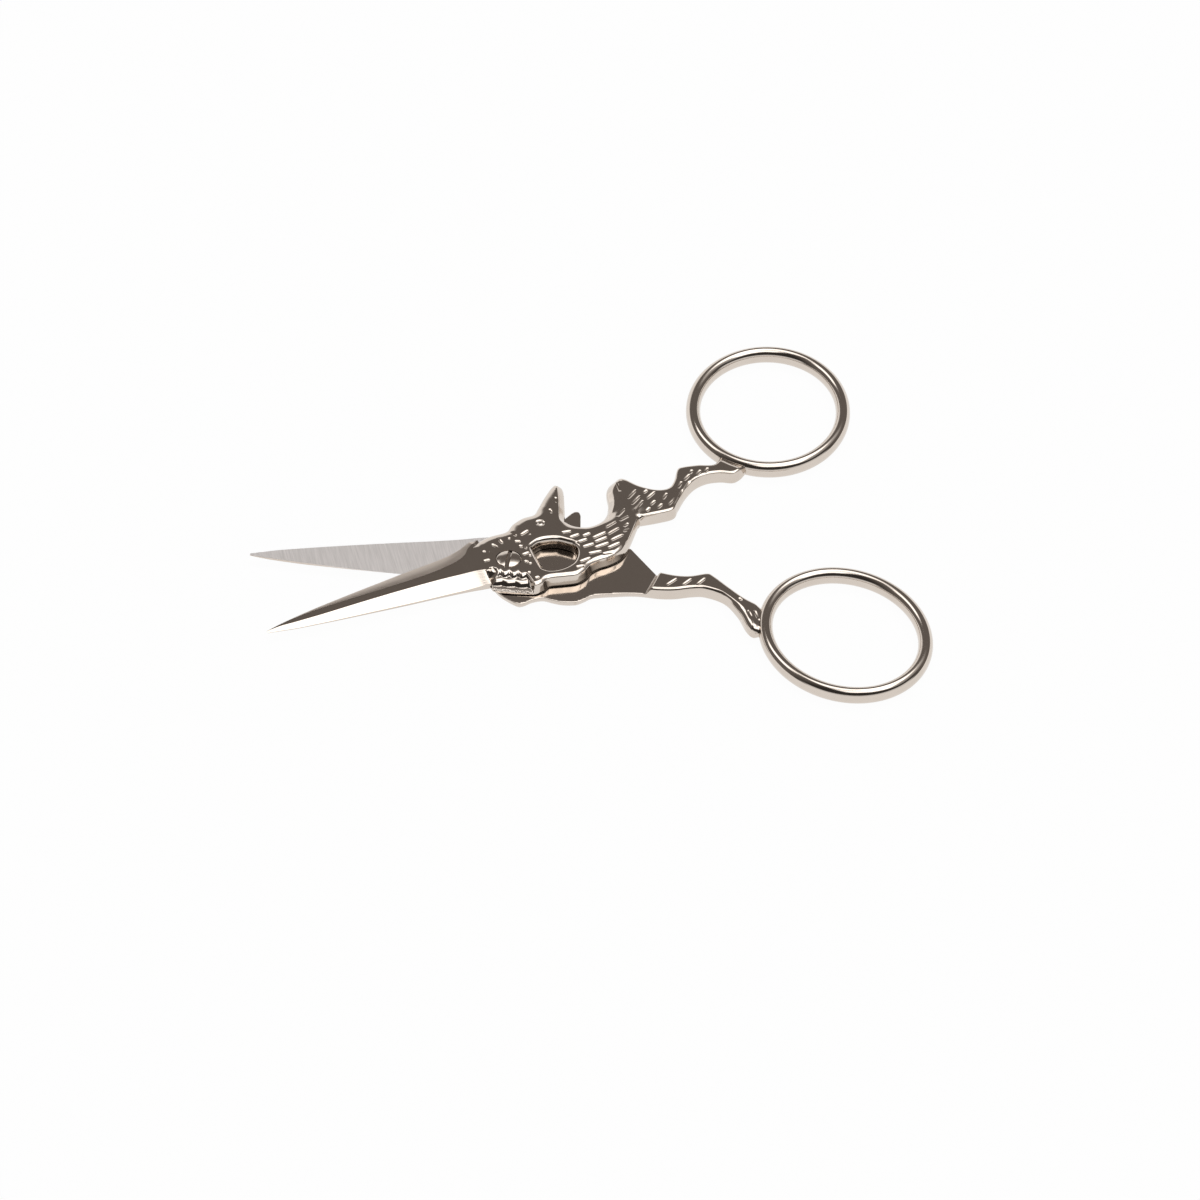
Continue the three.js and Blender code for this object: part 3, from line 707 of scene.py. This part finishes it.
ground = ground_steel("ground inner face")
bevel_ground = nickel("ground bevel", BEVEL_CLEAN, BEVEL_DULL, 0.26)
blade_points, blade_faces, blade_finish = blade_surface()
blade_faces = [face[::-1] for face in blade_faces]
blade_metals = [polished, ground, bevel_ground]
make_piece("front_blade", blade_points, blade_faces, blade_metals, "front", "front_half",
           sharp=8, turn=HALF_TURN, kinds=blade_finish)

# Front finger ring
# An oval bow for a finger, drawn out of the same forging as a rod of oval section.
# The hind paw grips it, and it is polished and plated all round.
RING_STEPS, WIRE_STEPS = 288, 36
WIRE_WIDE, WIRE_DEEP = 1.95, 2.3


def ring_surface(centre, side):
    """A tube of oval section carried round the ring's oval centre line."""
    around = np.linspace(0, 2 * np.pi, RING_STEPS, endpoint=False)[:, None]
    section = np.linspace(0, 2 * np.pi, WIRE_STEPS, endpoint=False)[None]
    normal = np.stack(np.broadcast_arrays(RING_SHORT * np.cos(around), RING_LONG * np.sin(around)), -1)
    normal = normal / np.linalg.norm(normal, axis=-1, keepdims=True)
    out = WIRE_WIDE / 2 * np.cos(section)
    along = RING_LONG * np.cos(around) + out * normal[..., 0]
    across = RING_SHORT * np.sin(around) + out * normal[..., 1]
    x = centre[0] + along * math.cos(RING_LEAN) - across * math.sin(RING_LEAN)
    y = centre[1] + side * (along * math.sin(RING_LEAN) + across * math.cos(RING_LEAN))
    z = np.broadcast_to(WIRE_DEEP / 2 * np.sin(section), x.shape)
    row, column = np.meshgrid(np.arange(RING_STEPS), np.arange(WIRE_STEPS), indexing="ij")
    next_row, next_column = (row + 1) % RING_STEPS, (column + 1) % WIRE_STEPS
    quads = np.stack([row * WIRE_STEPS + column, next_row * WIRE_STEPS + column,
                      next_row * WIRE_STEPS + next_column, row * WIRE_STEPS + next_column], -1).reshape(-1, 4)
    return np.stack([x.ravel(), y.ravel(), z.ravel()], 1), quads[:, ::side]


ring_points, ring_faces = ring_surface(FRONT_RING_CENTRE, 1)
make_piece("front_ring", ring_points, ring_faces, [polished], "front", "front_half",
           sharp=60, turn=HALF_TURN)

# Rear half, plate and hind leg
# The lower forging: a flat polished inner plate with the second ear, a shoulder that steps up to the full
# thickness, and the hind leg. Its outer side carries the same figure as the front, rounded at the rim.
REAR_RING_CENTRE = (44.5, -11.62)
REAR_RISE = 1.45
rear_grip = [ring_point(REAR_RING_CENTRE, -1, turn) for turn in (110, 119, 128)]
rear_rim = closed_outline(
    [(-3.4, -2.0), (-2.4, -3.1), (-1.3, -4.8), (-0.1, -5.95), (1.35, -6.9), (2.35, -6.8), (3.5, -6.05), (4.7, -5.7),
     (5.85, -6.05), (7.0, -6.35), (8.2, -6.43), (9.35, -6.25), (10.35, -5.65), (11.2, -5.0), (12.5, -4.72),
     (15.1, -4.45), (17.3, -4.4), (19.8, -4.65), (22.0, -4.6), (24.2, -4.15), (26.0, -4.15), (28.5, -5.4),
     (30.3, -8.0), (31.5, -10.8), (32.5, -11.9), rear_grip[0]],
    rear_grip,
    [rear_grip[2], (33.2, -7.2), (31.2, -5.7), (29.2, -3.7), (27.2, -1.6), (26.2, -1.0), (24.0, -1.55),
     (22.0, -1.5), (19.7, -0.9)],
    [(19.7, -0.9), (16.0, 4.5)],
    [(16.0, 4.5), (14.4, 5.3), (12.4, 5.4), (10.4, 6.2), (9.3, 7.8), (9.1, 10.0), (9.05, 11.1), (8.75, 11.75),
     (8.2, 11.75), (7.6, 11.15), (6.6, 9.8), (5.0, 8.0), (3.5, 6.75), (2.1, 5.7), (0.0, 5.8), (-1.4, 5.55),
     (-2.7, 5.2)],
    [(-2.7, 5.2), (-3.5, 2.8), (-3.7, 0.3), (-3.4, -2.0)],
)
rear_shoulder = np.array([19.3, -0.9])
rear_shoulder_out = np.array([4.1, -1.4]) / math.hypot(4.1, -1.4)
STEP_WIDTH, PLATE_ROUND = 0.9, 0.07
REAR_LEG_ROUND, PAW_FLARE = 0.5, 0.6
ROLL_DEPTH, ROLL_REACH, LEG_LESS, EAR_LESS = 0.87, 1.5, 0.85, 0.7
REAR_FUR, REAR_FUR_DEEP = 0.27, 0.08
rear_strokes = [(*row, REAR_FUR, REAR_FUR_DEEP) for row in [
    (20.9, -3.85, 22.3, -2.4), (23.0, -3.8, 24.2, -2.4), (24.9, -3.6, 26.0, -2.2), (31.7, -8.4, 32.3, -10.0),
    (32.6, -8.4, 33.0, -9.7), (30.5, -6.0, 30.9, -6.5),
]]
outer_strokes = [(x0, -y0, x1, -y1, half, deep) for x0, y0, x1, y1, half, deep in front_strokes if x0 < 16.5]


def rear_radius(p):
    """Radius of the leg's upper rim: it opens out on the outer side towards the paw."""
    flare = ease(27.0, 31.0, p[:, 0]) * (1 - ease(-0.3, 0.3, p[:, 1] - 21.0 + 0.92 * p[:, 0]))
    return REAR_LEG_ROUND + PAW_FLARE * flare


def rear_top(p, d):
    """The inner face: a flat plate with a crisp rim, and past the shoulder the rounded leg with its cuts."""
    past = (p - rear_shoulder) @ rear_shoulder_out
    paw = paw_drop(p, REAR_RING_CENTRE, -1)
    leg = LEG_RISE - paw - round_drop(d, rear_radius(p)) - stroke_depth(p, rear_strokes) * ease(0.1, 0.4, d)
    leg = np.maximum(leg, np.where(p[:, 0] > HOCK, LEG_LEAST, -1))
    plate = -LAP - round_drop(d, PLATE_ROUND)
    return plate + (leg - plate) * ease(0, STEP_WIDTH, past)


def rear_back_reach(p):
    """How far the roll of the outer side reaches in from the rim, less on the leg and the ear."""
    return ROLL_REACH - LEG_LESS * ease(15.0, 21.0, p[:, 0]) - EAR_LESS * ease(6.5, 8.5, p[:, 1])


def rear_under(p, d):
    """The outer face: the figure, with a roll at the rim a little less deep than wide and the same fur cut in."""
    rise = REAR_RISE + (LEG_RISE - REAR_RISE) * ease(*HAUNCH, p[:, 0])
    cut = stroke_depth(p, outer_strokes) * ease(0.3, 0.9, d) * (np.hypot(p[:, 0], p[:, 1]) > SCREW_SEAT)
    face = -rise + ROLL_DEPTH * round_drop(d, rear_back_reach(p)) + cut + paw_drop(p, REAR_RING_CENTRE, -1)
    return np.where(p[:, 0] > HOCK, np.minimum(face, -LEG_LEAST), face)


def on_leg(p):
    """Whether a point is on the leg, or just short of the shoulder where the leg starts."""
    return (p - rear_shoulder) @ rear_shoulder_out > -0.2


def rear_insets(rim):
    """Rim copies for the inner face: round the leg's edge, and close to the plate's crisp rim."""
    leg = round_insets(np.where(on_leg(rim), rear_radius(rim), 0.0))
    plate = np.where(on_leg(rim), 0.0, 1.0)[None] * np.array([0.02, PLATE_ROUND])[:, None]
    return np.vstack([leg, plate])


def rear_back_insets(rim):
    """Rim copies for the outer face, round its roll."""
    return round_insets(rear_back_reach(rim))


rear_box = (-4.0, 35.0, -13.6, 12.0)
step_along = np.array([-rear_shoulder_out[1], rear_shoulder_out[0]])
step_marks = np.vstack([
    rear_shoulder + offset * rear_shoulder_out + np.arange(-6, 2, 0.12)[:, None] * step_along
    for offset in np.linspace(-0.06, STEP_WIDTH + 0.06, 9)
])


def split_marks(box, strokes, step):
    """A close grid near the cuts and an open one elsewhere."""
    close, wide = grid_marks(box, step), grid_marks(box, 4 * step)
    return np.vstack([close[near_strokes(close, strokes)], wide[~near_strokes(wide, strokes)]])


rear_marks = split_marks(rear_box, rear_strokes, CLOSE_GRID)
past_step = (rear_marks - rear_shoulder) @ rear_shoulder_out
rear_marks = np.vstack([rear_marks[(past_step < -0.2) | (past_step > STEP_WIDTH + 0.15)], step_marks])
rear_outer_marks = split_marks(rear_box, outer_strokes, 0.1)


def rear_keep_off(p):
    """How far the grid of the inner face stays away from the rim and its copies."""
    return np.where(on_leg(p), rear_radius(p) + 0.02, 0.15)


rear_points, rear_faces = forging(
    [rear_rim], [circle(SCREW_BORE)],
    (rear_top, rear_insets, rear_marks, rear_keep_off),
    (rear_under, rear_back_insets, rear_outer_marks, lambda p: rear_back_reach(p) + 0.02),
)
upper = rear_points[:, 2] > -LAP - 0.02
# Painted shade in the cuts of the inner and the outer face.
rear_cut_shade = np.where(upper, stroke_depth(rear_points[:, :2], rear_strokes),
                    stroke_depth(rear_points[:, :2], outer_strokes)) / CUT_SHADE_DEPTH
make_piece("rear_figure", rear_points, rear_faces, [polished], "rear", "rear_half",
           sharp=50, turn=-HALF_TURN, cut=np.clip(rear_cut_shade, 0, 1))

# Rear blade
# The front blade's twin turned over: its ground inner face looks up, with satin grind lines across it.
# It is forged in one with the rear plate, and is plated on its outer facets.
TIP_LINE, LONGER, WIDER, TABLE_GAP = 1.6, 1.012, 1.03, 0.03
rear_blade_points = blade_points * (LONGER, -WIDER, -1) + (0, (1 + WIDER) * TIP_LINE, 0)
rear_blade_points[:, 2] = np.maximum(rear_blade_points[:, 2], TABLE_GAP - CONTACT)
make_piece("rear_blade", rear_blade_points, blade_faces, blade_metals, "rear", "rear_half",
           sharp=8, turn=-HALF_TURN, kinds=blade_finish)

# Rear finger ring
# The twin of the front bow, for the thumb, leaning the other way.
# It is one with the rear leg, whose paw grips it, and is polished and plated all round.
ring_points, ring_faces = ring_surface(REAR_RING_CENTRE, -1)
make_piece("rear_ring", ring_points, ring_faces, [polished], "rear", "rear_half",
           sharp=60, turn=-HALF_TURN)

# Pivot screw
# A turned steel screw with a low domed head and a sawn slot, plated like the halves. It passes through the
# front half and is threaded into the rear half, flush with its back.
HEAD_RADIUS, HEAD_DOME, HEAD_SUNK, HEAD_ROUND = 1.65, 0.25, 0.5, 0.1
SHANK_RADIUS, SHANK_CHAMFER, SHANK_STEPS = 1.15, 0.08, 64
SLOT_WIDE, SLOT_DEEP, SLOT_HOLLOW, SLOT_TURN = 0.5, 0.42, 0.11, math.radians(70)
slot_across = np.array([-math.sin(SLOT_TURN), math.cos(SLOT_TURN)])
slot_along = np.array([math.cos(SLOT_TURN), math.sin(SLOT_TURN)])


def head_top(p, d):
    """A low dome that falls with the square of the distance from its middle, with the slot cut across it, whose
    floor is a little hollow."""
    dome = FIGURE_RISE + HEAD_DOME * (1 - ((HEAD_RADIUS - d) / HEAD_RADIUS) ** 2) - round_drop(d, HEAD_ROUND)
    across = np.abs(p @ slot_across)
    floor = FIGURE_RISE + HEAD_DOME - SLOT_DEEP + SLOT_HOLLOW * np.minimum(2 * across / SLOT_WIDE, 1) ** 2
    return dome + (floor - dome) * (1 - ease(SLOT_WIDE / 2 - 0.015, SLOT_WIDE / 2 + 0.035, across))


head_rim = circle(HEAD_RADIUS, 0.1)[::-1]
head_box = (-1.7, 1.7, -1.7, 1.7)
slot_marks = np.vstack([
    np.arange(head_box[0], head_box[1], 0.07)[:, None] * slot_along + offset * slot_across
    for offset in (-0.31, -0.285, -0.26, -0.235, -0.1, 0, 0.1, 0.235, 0.26, 0.285, 0.31)
])
head_marks = grid_marks(head_box, 0.12)
head_marks = np.vstack([head_marks[np.abs(head_marks @ slot_across) > 0.36], slot_marks])
head_points, head_faces = forging(
    [head_rim], [],
    (head_top, lambda rim: np.repeat([[0.03], [HEAD_ROUND]], len(rim), 1), head_marks,
     lambda p: np.full(len(p), 0.14)),
    (lambda p, d: np.full(len(p), FIGURE_RISE - HEAD_SUNK), lambda rim: np.zeros((1, len(rim))),
     grid_marks(head_box, 0.5), lambda p: np.full(len(p), 0.15)),
)
turn = np.linspace(0, 2 * np.pi, SHANK_STEPS, endpoint=False)
shank_levels = ((SHANK_RADIUS - SHANK_CHAMFER, -CONTACT), (SHANK_RADIUS, SHANK_CHAMFER - CONTACT),
                (SHANK_RADIUS, FIGURE_RISE - HEAD_SUNK - 0.1))
shank_points = np.vstack([
    np.stack([radius * np.cos(turn), radius * np.sin(turn), np.full(SHANK_STEPS, z)], 1)
    for radius, z in shank_levels
])
step = np.arange(SHANK_STEPS)
after = (step + 1) % SHANK_STEPS
band = np.stack([step, after, after + SHANK_STEPS, step + SHANK_STEPS], 1) + len(head_points)
end = step + len(head_points)
last_level = (len(shank_levels) - 1) * SHANK_STEPS
shank_faces = np.vstack([band + level * SHANK_STEPS for level in range(len(shank_levels) - 1)]).tolist()
shank_faces += [end[::-1].tolist(), (end + last_level).tolist()]
screw_points = np.vstack([head_points, shank_points])
screw_faces = head_faces.tolist() + shank_faces
screw_nickel = nickel("screw nickel", NICKEL_CLEAN, NICKEL_SMUDGE_AND_SHADE, 0.08)
make_piece("pivot_screw_turned", screw_points, screw_faces, [screw_nickel], "rear", "pivot_screw",
           sharp=40)

# Studio
# A white table under one large overhead softbox, with a second one far to the left and a lit backdrop, in a dim
# room that is darker towards the viewer. Seen from the photograph's place.
FLOOR_HALF = 4.0
TABLE_WHITE = 0.9
ROOM = (0.156, 0.141, 0.132)
NEAR_ROOM = 0.25
BOX_LIGHT, BOX_SOFT = 1.9, 0.11
OVERHEAD, FAR_LEFT = (-0.3, 0.66, -0.58, 0.58), (-0.85, -0.3, 0.4, 1.08)
BACKDROP_TOP, BACKDROP_ARCH, BACKDROP_LIGHT = (0.38, 0.52), 0.4, 0.85
SIDE_REACH, SIDE_WIDE, SIDE_LIGHT = (0.6, 1.7), (0.6, 0.95), 0.45
HORIZON, NEAR_HORIZON, NEAR_LIGHT = (0.06, 0.14), (0.22, 0.38), 0.8
BAR = (0.025, 0.055)
RIGHT_FADE, NEAR_FADE, BACK_FADE, WALL_FADE = (0.0, 0.2), (-0.4, -0.1), (0.3, 0.6), (-0.35, 0.25)
LEAST_UP, PAGE_SHARE = 0.02, 0.97

floor_mesh = bpy.data.meshes.new("table")
corners = np.array([(-1, -1, 0), (1, -1, 0), (1, 1, 0), (-1, 1, 0)]) * FLOOR_HALF
floor_mesh.from_pydata(corners.tolist(), [], [(0, 1, 2, 3)])
floor = bpy.data.objects.new("table", floor_mesh)
bpy.context.scene.collection.objects.link(floor)
table = bpy.data.materials.new("white table")
table.use_nodes = True
tree = table.node_tree
tree.nodes.clear()
lit = tree.nodes.new("ShaderNodeBsdfDiffuse")
lit.inputs["Color"].default_value = (TABLE_WHITE, TABLE_WHITE, TABLE_WHITE, 1)
page = tree.nodes.new("ShaderNodeEmission")
page.inputs["Strength"].default_value = 1.0
path = tree.nodes.new("ShaderNodeLightPath")
seen = math_node(tree, "MAXIMUM", path.outputs["Is Camera Ray"], path.outputs["Is Glossy Ray"])
seen = math_node(tree, "MAXIMUM", seen, path.outputs["Is Transmission Ray"])
blend = tree.nodes.new("ShaderNodeMixShader")
out = tree.nodes.new("ShaderNodeOutputMaterial")
tree.links.new(math_node(tree, "MULTIPLY", seen, PAGE_SHARE), blend.inputs["Fac"])
tree.links.new(lit.outputs["BSDF"], blend.inputs[1])
tree.links.new(page.outputs["Emission"], blend.inputs[2])
tree.links.new(blend.outputs["Shader"], out.inputs["Surface"])
floor_mesh.materials.append(table)

world = bpy.data.worlds.new("studio")
bpy.context.scene.world = world
world.use_nodes = True
tree = world.node_tree
tree.nodes.clear()


def world_math(operation, *values):
    """A math node of the studio's light."""
    return math_node(tree, operation, *values)


def world_fade(value, low, high, start, stop):
    """A smooth change from start to stop as value goes from low to high."""
    node = tree.nodes.new("ShaderNodeMapRange")
    node.interpolation_type = "SMOOTHSTEP"
    for name, number in (("From Min", low), ("From Max", high), ("To Min", start), ("To Max", stop)):
        node.inputs[name].default_value = number
    tree.links.new(value, node.inputs["Value"])
    return node.outputs["Result"]


toward = tree.nodes.new("ShaderNodeTexCoord")
axes = tree.nodes.new("ShaderNodeSeparateXYZ")
tree.links.new(toward.outputs["Generated"], axes.inputs["Vector"])
up = world_math("MAXIMUM", axes.outputs["Z"], LEAST_UP)
slope = {axis: world_math("DIVIDE", axes.outputs[axis], up) for axis in "XY"}


def world_panel(left, right, near, far):
    """A softbox overhead with soft edges, given by its slopes from straight up."""
    panel = None
    for axis, low, high in (("X", left, right), ("Y", near, far)):
        for side in (world_fade(slope[axis], low - BOX_SOFT, low + BOX_SOFT, 0, 1),
                     world_fade(slope[axis], high - BOX_SOFT, high + BOX_SOFT, 1, 0)):
            panel = side if panel is None else world_math("MULTIPLY", panel, side)
    return panel


bar = world_fade(world_math("ABSOLUTE", slope["Y"]), *BAR, 0, 1)
box = world_math("MAXIMUM", world_math("MULTIPLY", world_panel(*OVERHEAD), bar), world_panel(*FAR_LEFT))
side = world_math("MULTIPLY", world_fade(slope["X"], *SIDE_REACH, 1, 0),
                  world_fade(axes.outputs["X"], *RIGHT_FADE, 0, 1))
side = world_math("MULTIPLY", side, world_fade(world_math("ABSOLUTE", slope["Y"]), *SIDE_WIDE, 1, 0))
low_white = world_fade(axes.outputs["Z"], *HORIZON, 1, 0)
near_white = world_math("MULTIPLY", world_fade(axes.outputs["Z"], *NEAR_HORIZON, NEAR_LIGHT, 0),
                        world_fade(axes.outputs["Y"], *NEAR_FADE, 1, 0))
low_white = world_math("MAXIMUM", low_white, near_white)
glow = world_math("ADD", world_math("MULTIPLY", box, BOX_LIGHT), low_white)
glow = world_math("ADD", glow, world_math("MULTIPLY", side, SIDE_LIGHT))
aside = world_math("ABSOLUTE", axes.outputs["X"])
edge = world_math("ADD", axes.outputs["Z"], world_math("MULTIPLY", aside, BACKDROP_ARCH))
backdrop = world_math("MULTIPLY", world_fade(edge, *BACKDROP_TOP, BACKDROP_LIGHT, 0),
                      world_fade(axes.outputs["Y"], *BACK_FADE, 0, 1))
glow = world_math("MAXIMUM", glow, backdrop)
walls = colour_mix(tree, world_fade(axes.outputs["Y"], *WALL_FADE, 0, 1), NEAR_ROOM * np.array(ROOM), ROOM)
light = tree.nodes.new("ShaderNodeMix")
light.data_type = "RGBA"
light.blend_type = "ADD"
light.inputs["Factor"].default_value = 1
tree.links.new(walls, light.inputs["A"])
tree.links.new(glow, light.inputs["B"])
path = tree.nodes.new("ShaderNodeLightPath")
show = colour_mix(tree, path.outputs["Is Camera Ray"], ROOM, (1, 1, 1))
tree.links.new(light.outputs["Result"], show.node.inputs["A"])
background = tree.nodes.new("ShaderNodeBackground")
tree.links.new(show, background.inputs["Color"])
out = tree.nodes.new("ShaderNodeOutputWorld")
tree.links.new(background.outputs["Background"], out.inputs["Surface"])

CAMERA_DISTANCE, CAMERA_LENS, SENSOR_WIDE = 1.0295, 235.5, 36.0
VIEW_POINT = Vector((0.01054, -0.0086, CONTACT * MM))
VIEW_TURN, VIEW_RISE = math.radians(-11.4), math.radians(41.28)
camera_data = bpy.data.cameras.new("camera")
camera_data.lens, camera_data.sensor_width = CAMERA_LENS, SENSOR_WIDE
camera = bpy.data.objects.new("camera", camera_data)
back = Vector((math.sin(VIEW_TURN) * math.cos(VIEW_RISE), -math.cos(VIEW_TURN) * math.cos(VIEW_RISE),
               math.sin(VIEW_RISE)))
camera.location = VIEW_POINT + CAMERA_DISTANCE * back
camera.rotation_euler = (-back).to_track_quat("-Z", "Y").to_euler()
bpy.context.scene.collection.objects.link(camera)
bpy.context.scene.camera = camera
bpy.context.scene.view_settings.view_transform = "Standard"
